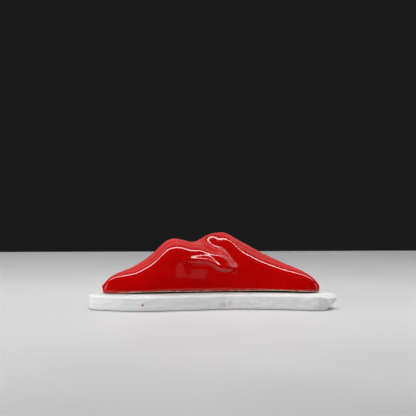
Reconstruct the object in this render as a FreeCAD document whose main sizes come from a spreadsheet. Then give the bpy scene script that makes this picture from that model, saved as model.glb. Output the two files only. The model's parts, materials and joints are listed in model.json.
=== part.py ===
import FreeCAD, Part
import Sketcher
import math, os
from FreeCAD import Vector

# A table telephone shaped like a pair of closed lips. The red shell is the handset: it lies
# face up on a flat white plate, and its keypad, receiver and microphone are on its underside.
# Frame: +Z up, X along the length, the upper lip faces -Y, origin on the table under the
# middle of the plate. Millimetres.

doc = FreeCAD.newDocument("lip_telephone")
sheet = doc.addObject("Spreadsheet::Sheet", "Sizes")
_row = [0]


def size(alias, value):
    _row[0] += 1
    sheet.set("A%d" % _row[0], alias)
    sheet.set("B%d" % _row[0], repr(float(value)))
    sheet.setAlias("B%d" % _row[0], alias)
    return float(value)


# ---- driving dimensions -------------------------------------------------------------------
FOOT_OUT = size("foot_out", 0.4)            # feet stand proud of the plate's underside
BASE_T = size("base_thick", 14.1)
BASE_TOP = FOOT_OUT + BASE_T
BASE_LONG = size("base_long", 247.0)
BASE_DEEP = size("base_deep", 131.0)
BASE_WALL = size("base_wall", 6.0)
BASE_ROOF = size("base_roof", 3.5)
BASE_ROUND = size("base_round", 2.0)
COVER_T = size("cover_thick", 2.0)
COVER_IN = size("cover_recess", 0.2)
BALLAST_L = size("ballast_long", 150.0)
BALLAST_W = size("ballast_wide", 52.0)
BALLAST_T = size("ballast_thick", 4.0)
FOOT_R = size("foot_radius", 7.0)
FOOT_H = size("foot_high", 1.8)
SHELL_GAP = size("shell_gap", 0.3)          # lowest point of the shell above the plate
SHELL_Z = BASE_TOP + SHELL_GAP
SHELL_LEFT = size("shell_left", -110.7)
SHELL_RIGHT = size("shell_right", 107.6)
WALL_SIDE = size("shell_wall_side", 4.8)
WALL_TOP = size("shell_wall_top", 3.2)
PLATE_GAP = size("plate_gap", 1.2)
PLATE_Z = BASE_TOP + PLATE_GAP
PLATE_T = size("plate_thick", 2.5)
PLATE_FIT = size("plate_fit", 0.5)
PLATE_TOP = PLATE_Z + PLATE_T
PAD_R = size("keypad_x", 2.0)
PAD_Y = size("keypad_y", 8.0)
ROW = size("key_pitch_row", 13.0)
COL = size("key_pitch_col", 16.0)
KEY_L = size("key_long", 9.5)
KEY_W = size("key_wide", 12.0)
KEY_CAP = size("key_cap", 4.0)
KEY_FL = size("key_flange", 1.0)
KEY_BRIM = size("key_brim", 1.0)
KEY_FIT = size("key_fit", 0.3)
KEY_TRAVEL = size("key_travel", 1.8)
BEZEL_L = size("bezel_long", 58.0)
BEZEL_W = size("bezel_wide", 54.0)
BEZEL_T = size("bezel_thick", 2.0)
BEZEL_LAP = size("bezel_lap", 3.0)
BEZEL_TOP = PLATE_TOP + BEZEL_T
KEY_Z = BEZEL_TOP + 0.1 - KEY_CAP
MEMB_T = size("membrane_thick", 1.2)
MEMB_Z = size("membrane_level", 23.5)
DOME_R = size("dome_radius", 3.6)
BOARD_Z = size("board_level", 24.8)
BOARD_T = size("board_thick", 1.6)
BOARD_L = size("board_long", 78.0)
BOARD_W = size("board_wide", 53.0)
BOARD_TOP = BOARD_Z + BOARD_T
REC_X = size("receiver_x", -60.5)
REC_Y = size("receiver_y", -20.0)
REC_R = size("receiver_radius", 13.5)
REC_H = size("receiver_high", 6.5)
GASK_T = size("gasket_thick", 1.3)
COLLAR = size("collar_wall", 2.2)
MIC_X = size("microphone_x", 77.0)
MIC_Y = size("microphone_y", -22.0)
MIC_R = size("microphone_radius", 4.85)
RING_X = size("ringer_x", 56.0)
RING_Y = size("ringer_y", -6.0)
RING_R = size("ringer_radius", 12.0)
HOOK_X = size("hook_x", -47.0)
HOOK_Y = size("hook_y", 12.0)
HOOK_R = size("hook_radius", 4.0)
HOOK_TRAVEL = size("hook_travel", 4.0)
SW_TRAVEL = size("switch_travel", 4.0)
TONE_X = size("tone_x", -16.0)
RSW_X = size("ringer_switch_x", 18.0)
SW_Y = size("switch_y", -25.2)
JACK_X = size("jack_x", 2.0)
JACK_W = size("jack_wide", 12.5)
JACK_D = size("jack_deep", 14.4)
JACK_H = size("jack_high", 11.5)
JACK_Y = size("jack_front", 50.0)
BOSS_R = size("boss_radius", 3.5)
SCREW_R = size("screw_radius", 1.4)
HEAD_R = size("screw_head_radius", 2.75)
HEAD_H = size("screw_head_high", 1.6)
WIRE_R = size("wire_radius", 0.55)
doc.recompute()

NODES = []


def keep(obj, label):
    obj.Label = label
    NODES.append((label, obj))
    return obj


def ex(v):
    return v if isinstance(v, str) else repr(float(v))


def bind(obj, prop, v):
    obj.setExpression(prop, ex(v))


_n = [0]


def nm(kind):
    _n[0] += 1
    return "%s_%03d" % (kind, _n[0])


def place(obj, x, y, z):
    bind(obj, "Placement.Base.x", x)
    bind(obj, "Placement.Base.y", y)
    bind(obj, "Placement.Base.z", z)
    return obj


def box(lx, ly, lz, x, y, z, yaw=0.0):
    """A block centred on x, y, standing on z."""
    o = doc.addObject("Part::Box", nm("Block"))
    bind(o, "Length", lx), bind(o, "Width", ly), bind(o, "Height", lz)
    place(o, "(%s) - (%s) / 2" % (ex(x), ex(lx)), "(%s) - (%s) / 2" % (ex(y), ex(ly)), z)
    return o


def cyl(r, h, x, y, z, axis="z"):
    o = doc.addObject("Part::Cylinder", nm("Round"))
    if axis == "y":
        o.Placement = FreeCAD.Placement(Vector(0, 0, 0), FreeCAD.Rotation(Vector(1, 0, 0), -90))
    if axis == "x":
        o.Placement = FreeCAD.Placement(Vector(0, 0, 0), FreeCAD.Rotation(Vector(0, 1, 0), 90))
    bind(o, "Radius", r), bind(o, "Height", h)
    return place(o, x, y, z)


def cone(r1, r2, h, x, y, z):
    o = doc.addObject("Part::Cone", nm("Taper"))
    bind(o, "Radius1", r1), bind(o, "Radius2", r2), bind(o, "Height", h)
    return place(o, x, y, z)


def fuse(*parts):
    o = doc.addObject("Part::MultiFuse", nm("Join"))
    o.Shapes = list(parts)
    return o


def cut(base, *tools):
    t = tools[0] if len(tools) == 1 else fuse(*tools)
    o = doc.addObject("Part::Cut", nm("Cut"))
    o.Base, o.Tool = base, t
    return o


def group(*parts):
    o = doc.addObject("Part::Compound", nm("Group"))
    o.Links = list(parts)
    return o


def free(shape, z=0.0):
    """A freeform solid, with its height given by its placement."""
    o = doc.addObject("Part::Feature", nm("Form"))
    at = shape.Placement
    o.Shape = shape
    o.Placement = FreeCAD.Placement(Vector(0, 0, z), FreeCAD.Rotation()).multiply(at)
    return o


# ---- sketch helpers -----------------------------------------------------------------------
def new_body(name):
    return doc.addObject("PartDesign::Body", name)


def plane(body, role):
    return [o for o in body.Origin.OriginFeatures if o.Role == role][0]


def sketch(body, role="XY_Plane", lift=None):
    s = body.newObject("Sketcher::SketchObject", nm("Outline"))
    s.AttachmentSupport = [(plane(body, role), "")]
    s.MapMode = "FlatFace"
    if lift is not None:
        bind(s, "AttachmentOffset.Base.z", lift)
    return s


def rectangle(s, wide, high, w0, h0):
    c = [Vector(-w0 / 2, -h0 / 2, 0), Vector(w0 / 2, -h0 / 2, 0), Vector(w0 / 2, h0 / 2, 0), Vector(-w0 / 2, h0 / 2, 0)]
    for i in range(4):
        s.addGeometry(Part.LineSegment(c[i], c[(i + 1) % 4]), False)
    for i in range(4):
        s.addConstraint(Sketcher.Constraint("Coincident", i, 2, (i + 1) % 4, 1))
    for i, k in ((0, "Horizontal"), (2, "Horizontal"), (1, "Vertical"), (3, "Vertical")):
        s.addConstraint(Sketcher.Constraint(k, i))
    s.addConstraint(Sketcher.Constraint("Symmetric", 0, 1, 1, 2, -1, 1))
    a = s.addConstraint(Sketcher.Constraint("DistanceX", 0, 1, 0, 2, w0))
    b = s.addConstraint(Sketcher.Constraint("DistanceY", 1, 1, 1, 2, h0))
    s.setExpression("Constraints[%d]" % a, ex(wide))
    s.setExpression("Constraints[%d]" % b, ex(high))


def circle(s, radius, r0):
    g = s.addGeometry(Part.Circle(Vector(0, 0, 0), Vector(0, 0, 1), r0), False)
    s.addConstraint(Sketcher.Constraint("Coincident", g, 3, -1, 1))
    k = s.addConstraint(Sketcher.Constraint("Radius", g, r0))
    s.setExpression("Constraints[%d]" % k, ex(radius))


def pad(body, profile, length):
    p = body.newObject("PartDesign::Pad", nm("Pad"))
    p.Profile = profile
    bind(p, "Length", length)
    profile.Visibility = False
    return p


def pocket(body, profile, length, down=False):
    p = body.newObject("PartDesign::Pocket", nm("Pocket"))
    p.Profile = profile
    bind(p, "Length", length)
    p.Reversed = not down
    return p


def round_edges(body, feature, level, radius, tol=1e-3):
    doc.recompute()
    names = []
    for i, e in enumerate(feature.Shape.Edges):
        bb = e.BoundBox
        if abs(bb.ZMin - level) < tol and abs(bb.ZMax - level) < tol:
            names.append("Edge%d" % (i + 1))
    f = body.newObject("PartDesign::Fillet", nm("Round"))
    f.Base = (feature, names)
    bind(f, "Radius", radius)
    body.Tip = f
    return f


# ---- the lips -----------------------------------------------------------------------------
def spline(xs, ys):
    """Natural cubic spline through the stations."""
    n = len(xs)
    h = [xs[i + 1] - xs[i] for i in range(n - 1)]
    a, b, c, d = [0.0] * n, [1.0] * n, [0.0] * n, [0.0] * n
    for i in range(1, n - 1):
        a[i], b[i], c[i] = h[i - 1], 2 * (h[i - 1] + h[i]), h[i]
        d[i] = 6 * ((ys[i + 1] - ys[i]) / h[i] - (ys[i] - ys[i - 1]) / h[i - 1])
    for i in range(1, n):
        m = a[i] / b[i - 1]
        b[i] -= m * c[i - 1]
        d[i] -= m * d[i - 1]
    mm = [0.0] * n
    for i in range(n - 2, -1, -1):
        mm[i] = (d[i] - c[i] * mm[i + 1]) / b[i]

    def f(x):
        k = 0
        while k < n - 2 and x > xs[k + 1]:
            k += 1
        t, u, q = x - xs[k], xs[k + 1] - x, h[k]
        return ((mm[k] * u ** 3 + mm[k + 1] * t ** 3) / (6 * q)
                + (ys[k] / q - mm[k] * q / 6) * u + (ys[k + 1] / q - mm[k + 1] * q / 6) * t)
    return f


XC, LH = (SHELL_LEFT + SHELL_RIGHT) / 2, (SHELL_RIGHT - SHELL_LEFT) / 2
TIP_Y = -33.0
STATION = [SHELL_LEFT, -100, -88, -72, -56, -44, -36, -20, -6, 9, 22, 36, 52, 70, 86, 98, SHELL_RIGHT]
NEAR = [13.0, 13.1, 12.2, 11.5, 10.5, 9.0, 8.0, 5.7, 4.0, 3.0, 2.5, 3.0, 4.3, 6.5, 10.0, 12.5, 13.0]
FAR = [15.0, 20.0, 31.0, 50.0, 66.0, 74.0, 78.0, 83.0, 85.0, 85.0, 82.5, 78.0, 67.0, 50.5, 31.9, 21.0, 15.0]
MOUTH = [-33.0, -27.5, -20.0, -10.0, -3.0, 1.5, 4.0, 7.0, 8.0, 8.0, 7.0, 4.5, -1.0, -9.5, -19.0, -27.0, -33.0]
LOWER = [10.0, 12.5, 15.5, 21.0, 29.0, 35.5, 38.5, 41.5, 42.0, 41.0, 38.5, 34.0, 27.5, 20.5, 15.5, 12.5, 10.0]
CREST_X = [SHELL_LEFT, -105, -100, -88, -72, -60, -52, -44, -36, -28, -20, -12, -4, 4, 12, 20, 28, 36, 52, 70, 86, 98, 103, SHELL_RIGHT]
UPPER = [9.5, 17.2, 21.0, 25.2, 32.0, 39.8, 47.4, 53.7, 55.9, 56.3, 57.1, 61.9, 64.0, 63.0, 61.6, 57.0, 51.9, 47.5,
         39.3, 32.6, 26.2, 19.9, 15.2, 7.4]
near_f, far_f, mouth_f = spline(STATION, NEAR), spline(STATION, FAR), spline(STATION, MOUTH)
lower_f, upper_f = spline(STATION, LOWER), spline(CREST_X, UPPER)
ROLL_NEAR, ROLL_FAR, ROLL_K = 30.0, 28.0, 2.77


def outline(x, off=0.0):
    """Near and far edge of the lips at x, drawn in by off."""
    xi = (x - XC) / (LH - off * 1.35)
    e = math.sqrt(max(0.0, 1 - abs(xi) ** 10))
    return TIP_Y - near_f(x) * e + off * e, TIP_Y + far_f(x) * e - off * e


def crest(x, y, near):
    """Height that the lips would reach at x, y with no rolled edges."""
    ym, up, lo = mouth_f(x), upper_f(x), lower_f(x)
    a = 0.5 * (1 - math.tanh((y - ym) / 7.0))
    top = up * a + lo * (1 - a) - 0.32 * lo * math.exp(-((y - ym) / 6.0) ** 2)
    # slanting dip between the two peaks of the upper lip
    d = y - near
    ax, ad, bx, bd = 21.5, 8.0, -19.0, 38.0
    ln = math.hypot(bx - ax, bd - ad)
    vx, vd = (bx - ax) / ln, (bd - ad) / ln
    t = ((x - ax) * vx + (d - ad) * vd) / ln
    q = (x - ax) * vd - (d - ad) * vx
    tc = min(max(t, 0.0), 1.2)
    w = 3.0 + 7.0 * tc if q > 0 else 6.0 + 10.0 * tc
    deep = 12.5 - 6.0 * min(tc, 1.0)
    if t < 0:
        deep *= math.exp(-(t / 0.22) ** 2)
    if t > 1:
        deep *= math.exp(-((t - 1) / 0.35) ** 2)
    top -= deep * math.exp(-(q / w) ** 2)
    return top - 12.0 * math.exp(-((x + 3.0) / 17.0) ** 2 - (d / 21.0) ** 2)


def skin(x, s, off=0.0, drop=0.0):
    """Point of the lips' section at x; s runs from the near edge, 0, to the far edge, 1."""
    near0, far0 = outline(x)
    near, far = outline(x, off)
    w = max(far - near, 1e-6)
    y = near + w * math.sin(math.pi * s / 2) ** 2
    rn, rf = min(ROLL_NEAR, 0.55 * w), min(ROLL_FAR, 0.55 * w)
    k = (1 - math.exp(-ROLL_K * (y - near) / rn)) * (1 - math.exp(-ROLL_K * (far - y) / rf))
    if s <= 0.0 or s >= 1.0:
        k = 0.0
    # hollow shoulder in front of the dip
    hollow = 4.6 * math.exp(-((y - near0 - 22.0) / 14.0) ** 2 - ((x + 3.0) / 16.0) ** 2)
    return x, y, (crest(x, y, near0) - drop - hollow) * math.sqrt(max(0.0, k))


def outer_skin(x, s):
    x, y, z = skin(x, s)
    near, far = outline(x)
    i = 2.2 * math.exp(-z / 1.3) - 1.2 * math.exp(-z / 9.0)      # leans out, and curls in at the bottom
    wy = math.cos(math.pi * s) * min(1.0, (far - near) / 24.0)
    zb = 32.8 - 4.2 * (1 + math.tanh((x - 2.0) / 6.0))
    b = 2.8 * math.exp(-((x + 4) / 19.0) ** 2 - ((z - zb) / 3.0) ** 2) * max(0.0, 1 - s / 0.45)
    xi = (x - XC) / LH
    tau = 1.0 if abs(xi) > 0.9997 else abs(xi) ** 80
    ix = i * (1 - tau) + (2.2 * (1 - z / 12.0) - 1.0) * tau      # flat at the very tip
    return Vector(x - ix * 1.6 * xi ** 7, y + i * wy * abs(math.cos(math.pi * s)) - b, z)


def closed_form(grid, filled):
    """A solid under a smooth surface through the grid, closed flat underneath."""
    srf = Part.BSplineSurface()
    srf.interpolate(grid)
    top = Part.Face(srf)
    p = [[grid[0][0], grid[0][-1]], [grid[-1][0], grid[-1][-1]]]
    tip, side = [], []
    for e in top.Edges:
        a, b = e.valueAt(e.FirstParameter), e.valueAt(e.LastParameter)
        same = [k for k in (0, 1) if min(a.distanceToPoint(p[k][0]) + b.distanceToPoint(p[k][1]),
                                         a.distanceToPoint(p[k][1]) + b.distanceToPoint(p[k][0])) < 1e-4]
        if same:
            tip.append((same[0], e))
        else:
            side.append(e)
    faces = [top]
    lines = []
    for k, e in tip:
        line = Part.makeLine(p[k][0], p[k][1])
        lines.append(line)
        if filled:
            faces.append(Part.makeFilledFace([e, line]))
        else:
            faces.append(Part.Face(Part.Wire(Part.__sortEdges__([e, line]))))
    faces.append(Part.Face(Part.Wire(Part.__sortEdges__(side + lines))))
    shell = Part.Shell(faces)
    shell.sewShape()
    solid = Part.Solid(shell)
    if solid.Volume < 0:
        solid.reverse()
    return solid


NX, NS = 60, 57
xs = [XC - LH * 0.9998 * math.cos(math.pi * i / (NX - 1)) for i in range(NX)]
outer = closed_form([[outer_skin(x, j / (NS - 1.0)) for j in range(NS)] for x in xs], False)
LI = LH - WALL_SIDE * 1.35
xi_ = [XC - LI * 0.9990 * math.cos(math.pi * i / (NX - 1)) for i in range(NX)]
rows = []
for x in xi_:
    sec = [Vector(*skin(x, j / (NS - 1.0), WALL_SIDE, WALL_TOP)) + Vector(0, 0, 4) for j in range(NS)]
    rows.append([Vector(sec[0].x, sec[0].y, 0)] + sec + [Vector(sec[-1].x, sec[-1].y, 0)])
inner = closed_form(rows, False)
inner.translate(Vector(0, 0, -4))

# the rim follows a shallow wave: it nearly touches the plate at the left end
RIM = [(-130, 0.0), (-109, 0.05), (-100, 0.1), (-90, 0.6), (-75, 1.3), (-50, 1.7), (-30, 1.4), (0, 1.3), (30, 1.5),
       (50, 1.9), (70, 1.9), (90, 1.4), (100, 1.0), (107, 0.9), (130, 0.9)]
rc = Part.BSplineCurve()
rc.interpolate([Vector(x, -90, z) for x, z in RIM])
a, b = Vector(-130, -90, 0.0), Vector(130, -90, 0.9)
c, d = Vector(130, -90, -12), Vector(-130, -90, -12)
wave = Part.Face(Part.Wire([rc.toShape(), Part.makeLine(b, c), Part.makeLine(c, d), Part.makeLine(d, a)]))
wave = wave.extrude(Vector(0, 180, 0))

SHELL_SCREWS = [(-92.0, -27.0), (90.0, -26.0), (-43.0, -31.0), (47.0, -25.5), (-43.0, 27.5), (46.0, 22.0)]
form = outer.cut(inner)
posts = []
for x, y in SHELL_SCREWS:
    post = Part.makeCylinder(BOSS_R, 70, Vector(x, y, PLATE_TOP - SHELL_Z))
    posts.append(post.common(outer))
form = form.fuse(posts)
form = form.cut(wave)
drill = [Part.makeCylinder(SCREW_R + 0.1, 9.0, Vector(x, y, PLATE_TOP - SHELL_Z - 1)) for x, y in SHELL_SCREWS]
drill.append(Part.makeBox(JACK_W + 0.8, 14, JACK_H + 0.8,
                          Vector(JACK_X - JACK_W / 2 - 0.4, JACK_Y - 9, PLATE_TOP - SHELL_Z - 0.4)))
form = form.cut(drill)
if form.ShapeType != "Solid":
    form = form.Solids[0]
print("lip_shell", form.isValid(), round(form.Volume))
keep(free(form, SHELL_Z), "lip_shell")


# ---- the plate that it lies on ------------------------------------------------------------
def ring(points):
    cv = Part.BSplineCurve()
    cv.interpolate([Vector(x, y, 0) for x, y in points], PeriodicFlag=True)
    return cv


PLAN = [(-70, -65.5), (-50, -64), (-30, -61.3), (-10, -57.5), (8, -54.3), (22, -53), (36, -53.4), (52, -55.3),
        (70, -58.5), (88, -63), (102, -65.5), (113, -62.5), (120.5, -55.5), (123.5, -46.5), (119, -36.5), (111, -24),
        (102, -8.5), (92, 8), (78, 28), (60, 44), (40, 56), (20, 63), (0, 65.5), (-20, 63.7), (-40, 57), (-60, 45),
        (-78, 28.5), (-93, 8.5), (-103.5, -8), (-112, -21.5), (-119.5, -31), (-123.5, -40), (-120.5, -48.5), (-111, -55.5), (-94, -61.5)]
cv = ring(PLAN)
pts = [cv.value(cv.FirstParameter + (cv.LastParameter - cv.FirstParameter) * i / 4000.0) for i in range(4000)]
x0, x1 = min(p.x for p in pts), max(p.x for p in pts)
y0, y1 = min(p.y for p in pts), max(p.y for p in pts)
PLAN = [((x - (x0 + x1) / 2) * BASE_LONG / (x1 - x0), (y - (y0 + y1) / 2) * BASE_DEEP / (y1 - y0)) for x, y in PLAN]


def drawn_in(points, off):
    """The closed line through the points, moved inwards by off."""
    cv = ring(points)
    n, out = 96, []
    f0, f1 = cv.FirstParameter, cv.LastParameter
    for i in range(n):
        t = f0 + (f1 - f0) * i / n
        p, tg = cv.value(t), cv.tangent(t)[0]
        out.append((p.x - tg.y * off, p.y + tg.x * off))
    return out


def slab(points, z0, z1):
    f = Part.Face(Part.Wire([ring(points).toShape()]))
    s = f.extrude(Vector(0, 0, z1 - z0))
    s.translate(Vector(0, 0, z0))
    return s


BASE_SCREWS = [(-96.0, -38.0), (96.0, -38.0), (-48.0, 34.0), (48.0, 34.0), (20.0, -40.0)]
FEET = [(-94.0, -22.0), (94.0, -22.0), (-28.0, 42.0), (30.0, 42.0), (-60.0, -47.0), (74.0, -41.0)]
plate = slab(PLAN, FOOT_OUT, BASE_TOP)
edge = [e for e in plate.Edges if e.BoundBox.ZMin > BASE_TOP - 0.01]
plate = plate.makeFillet(BASE_ROUND, edge)
# the right end is undercut: its lower edge stands further in than its upper edge
corner = [Vector(127, -80, 12), Vector(127, -80, -1), Vector(108.5, -80, -1)]
wedge = Part.Face(Part.makePolygon(corner + corner[:1])).extrude(Vector(0, 160, 0))
plate = plate.cut(wedge)
CAVITY = drawn_in(PLAN, BASE_WALL)
cave = slab(CAVITY, FOOT_OUT - 1, BASE_TOP - BASE_ROOF)
cave = cave.common(Part.makeBox(230, 160, 40, Vector(-123, -80, -5)))
plate = plate.cut(cave)
for x, y in BASE_SCREWS:
    plate = plate.fuse(Part.makeCylinder(4.0, BASE_TOP - BASE_ROOF - FOOT_OUT - COVER_IN - COVER_T,
                                         Vector(x, y, FOOT_OUT + COVER_IN + COVER_T)))
for x, y in BASE_SCREWS:
    plate = plate.cut(Part.makeCylinder(SCREW_R + 0.1, 6.5, Vector(x, y, FOOT_OUT)))
print("base_shell", plate.isValid(), round(plate.Volume), len(plate.Solids))
keep(free(plate.Solids[0] if plate.ShapeType != "Solid" else plate), "base_shell")

lid = slab(drawn_in(PLAN, BASE_WALL + 0.4), FOOT_OUT + COVER_IN, FOOT_OUT + COVER_IN + COVER_T)
lid = lid.common(Part.makeBox(229.6, 160, 40, Vector(-123, -80, -5)))
blank = free(lid)
tools = []
for x, y in FEET:
    tools.append(cyl("Sizes.foot_radius + 0.1", "Sizes.foot_high - Sizes.foot_out - Sizes.cover_recess + 0.2", x, y,
                     "Sizes.foot_out"))
for x, y in BASE_SCREWS:
    tools.append(cyl("Sizes.screw_radius + 0.2", 5, x, y, 0))
    tools.append(cyl("Sizes.screw_head_radius + 0.25", "Sizes.cover_recess + 1.0", x, y, "Sizes.foot_out"))
keep(cut(blank, *tools), "base_cover")

weight = box("Sizes.ballast_long", "Sizes.ballast_wide", "Sizes.ballast_thick", 0, -8,
             "Sizes.foot_out + Sizes.cover_recess + Sizes.cover_thick + 0.1")
soft = doc.addObject("Part::Fillet", "Ballast_corners")
soft.Base = weight
doc.recompute()
soft.Edges = [(i + 1, 6.0, 6.0) for i, e in enumerate(weight.Shape.Edges)
              if abs(e.BoundBox.ZLength - BALLAST_T) < 1e-6]
ballast = cut(soft, cyl(4.6, 20, 20, -40, -5))
keep(ballast, "ballast_plate")


def foot(name, x, y):
    """A moulded rubber foot, turned about its own axis."""
    b = new_body(name)
    s = sketch(b)
    circle(s, "Sizes.foot_radius", FOOT_R)
    p = pad(b, s, "Sizes.foot_high")
    round_edges(b, p, 0.0, 0.5)
    b.Placement = FreeCAD.Placement(Vector(x, y, 0), FreeCAD.Rotation())
    return b


keep(group(*[foot("Foot_%d" % i, x, y) for i, (x, y) in enumerate(FEET)]), "base_feet")


def screw(x, y, z, length, up=True):
    """A pan-head screw with a cross recess; z is the underside of its head."""
    if up:
        hd = cyl("Sizes.screw_head_radius", "Sizes.screw_head_high", x, y, "%r - Sizes.screw_head_high" % z)
        sh = cyl("Sizes.screw_radius", length, x, y, z)
        cz = "%r - Sizes.screw_head_high - 0.1" % z
    else:
        hd = cyl("Sizes.screw_head_radius", "Sizes.screw_head_high", x, y, z)
        sh = cyl("Sizes.screw_radius", length, x, y, "%r - %r" % (z, length))
        cz = "%r + Sizes.screw_head_high - 0.8" % z
    return cut(fuse(hd, sh), box(3.2, 0.7, 0.9, x, y, cz), box(0.7, 3.2, 0.9, x, y, cz))


HEAD_Z = FOOT_OUT + COVER_IN + 1.0
keep(group(*[screw(x, y, FOOT_OUT + COVER_IN + 0.98, 5.0) for x, y in BASE_SCREWS]), "base_screws")

# ---- the plate under the handset ----------------------------------------------------------
rim_pts = []
off = WALL_SIDE + PLATE_FIT
ll = LH - off * 1.35
ts = [math.pi * i / 44 for i in range(45)]
for t in ts:
    x = XC - ll * math.cos(t)
    rim_pts.append((x, outline(x, off)[0] if 0 < t < math.pi else TIP_Y))
for t in ts[-2:0:-1]:
    x = XC - ll * math.cos(t)
    rim_pts.append((x, outline(x, off)[1]))
blank = free(slab(rim_pts, PLATE_Z, PLATE_TOP))
PADS = [(-80.0, -30.0), (66.0, -28.0), (-31.0, 35.0), (34.0, 33.0)]
BOARD_SCREWS = [(-33.5, -14.5), (-33.5, 30.0), (37.5, -14.5), (37.5, 30.0)]
solid = [blank]
for x, y in BOARD_SCREWS:
    solid.append(cyl(3.0, "Sizes.board_level - %r + 0.2" % PLATE_TOP, x, y, PLATE_TOP - 0.2))
solid.append(cut(cyl("Sizes.receiver_radius + 0.3 + Sizes.collar_wall", "Sizes.gasket_thick + Sizes.receiver_high + 0.4",
                     "Sizes.receiver_x", "Sizes.receiver_y", PLATE_TOP - 0.2),
                 cyl("Sizes.receiver_radius + 0.3", 30, "Sizes.receiver_x", "Sizes.receiver_y", PLATE_TOP - 1)))
solid.append(cut(cyl(8.0, 6.2, "Sizes.microphone_x", "Sizes.microphone_y", PLATE_TOP - 0.2),
                 cyl(6.6, 30, "Sizes.microphone_x", "Sizes.microphone_y", PLATE_TOP - 1)))
holes = [box("Sizes.bezel_long - 2 * Sizes.bezel_lap", "Sizes.bezel_wide - 2 * Sizes.bezel_lap", 10, "Sizes.keypad_x",
             "Sizes.keypad_y", PLATE_Z - 2)]
for x, y in BOARD_SCREWS:
    holes.append(cyl("Sizes.screw_radius + 0.1", 6, x, y, BOARD_Z - 5.5))
for n, r in ((1, 0.0), (6, 4.5), (12, 9.0)):
    for i in range(n):
        a = 2 * math.pi * i / n
        holes.append(cyl(1.1, 10, REC_X + r * math.cos(a), REC_Y + r * math.sin(a), PLATE_Z - 2))
for dx, dy in ((0, 0), (2.6, 0), (-2.6, 0), (0, 2.6), (0, -2.6)):
    holes.append(cyl(0.75, 10, MIC_X + dx, MIC_Y + dy, PLATE_Z - 2))
for i in range(5):
    holes.append(box(1.6, 12, 10, RING_X - 7 + 3.5 * i, "Sizes.ringer_y", PLATE_Z - 2))
holes.append(cyl("Sizes.hook_radius + 0.3", 10, "Sizes.hook_x", "Sizes.hook_y", PLATE_Z - 2))
for sx in ("Sizes.tone_x", "Sizes.ringer_switch_x"):
    holes.append(box("4.4 + Sizes.switch_travel + 0.6", 4.0, 10, "%s + Sizes.switch_travel / 2" % sx, "Sizes.switch_y",
                     PLATE_Z - 2))
for x, y in SHELL_SCREWS:
    holes.append(cyl("Sizes.screw_radius + 0.2", 10, x, y, PLATE_Z - 2))
    holes.append(cyl("Sizes.screw_head_radius + 0.25", 1.0 + 1.7, x, y, PLATE_Z - 1.0))
for x, y in PADS:
    holes.append(cyl(4.6, 2.0, x, y, PLATE_Z - 1.0))
keep(cut(fuse(*solid), *holes), "face_plate")
keep(group(*[screw(x, y, PLATE_Z + 1.68, 8.0) for x, y in SHELL_SCREWS]), "shell_screws")
keep(group(*[cyl(4.5, PLATE_Z + 0.95 - BASE_TOP - 0.2, x, y, BASE_TOP + 0.2) for x, y in PADS]), "rest_pads")

# ---- keypad -------------------------------------------------------------------------------
b = new_body("Keypad_bezel")
s = sketch(b)
rectangle(s, "Sizes.bezel_long", "Sizes.bezel_wide", BEZEL_L, BEZEL_W)
pad(b, s, "Sizes.bezel_thick")
b.Placement = FreeCAD.Placement(Vector(PAD_R, PAD_Y, PLATE_TOP), FreeCAD.Rotation())
KEYS = []
names = ["key_1", "key_2", "key_3", "key_4", "key_5", "key_6", "key_7", "key_8", "key_9", "key_star", "key_0", "key_hash"]
for i, n in enumerate(names):
    KEYS.append((n, i // 3 - 1.5, 1 - i % 3))
apertures = [box("Sizes.key_long + 2 * Sizes.key_fit", "Sizes.key_wide + 2 * Sizes.key_fit", 10,
                 "Sizes.keypad_x + %r * Sizes.key_pitch_row" % r, "Sizes.keypad_y + %r * Sizes.key_pitch_col" % c, PLATE_TOP - 4)
             for n, r, c in KEYS]
keep(cut(b, *apertures), "keypad_bezel")
for n, r, c in KEYS:
    k = new_body("Body_" + n)
    s = sketch(k)
    rectangle(s, "Sizes.key_long", "Sizes.key_wide", KEY_L, KEY_W)
    pad(k, s, "Sizes.key_cap")
    s = sketch(k, lift="Sizes.key_cap")
    rectangle(s, "Sizes.key_long + 2 * Sizes.key_brim", "Sizes.key_wide + 2 * Sizes.key_brim", KEY_L + 2, KEY_W + 2)
    p = pad(k, s, "Sizes.key_flange")
    round_edges(k, p, 0.0, 0.8)
    bind(k, "Placement.Base.x", "Sizes.keypad_x + %r * Sizes.key_pitch_row" % r)
    bind(k, "Placement.Base.y", "Sizes.keypad_y + %r * Sizes.key_pitch_col" % c)
    bind(k, "Placement.Base.z", KEY_Z)
    keep(k, n)
mat = [box("Sizes.bezel_long - 2", "Sizes.bezel_wide - 2", "Sizes.membrane_thick", "Sizes.keypad_x", "Sizes.keypad_y",
           "Sizes.membrane_level")]
for n, r, c in KEYS:
    z = KEY_Z + KEY_CAP + KEY_FL + 0.1
    mat.append(cone(2.2, "Sizes.dome_radius", MEMB_Z - z + 0.1, "Sizes.keypad_x + %r * Sizes.key_pitch_row" % r,
                    "Sizes.keypad_y + %r * Sizes.key_pitch_col" % c, z))
keep(fuse(*mat), "keypad_membrane")

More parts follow.
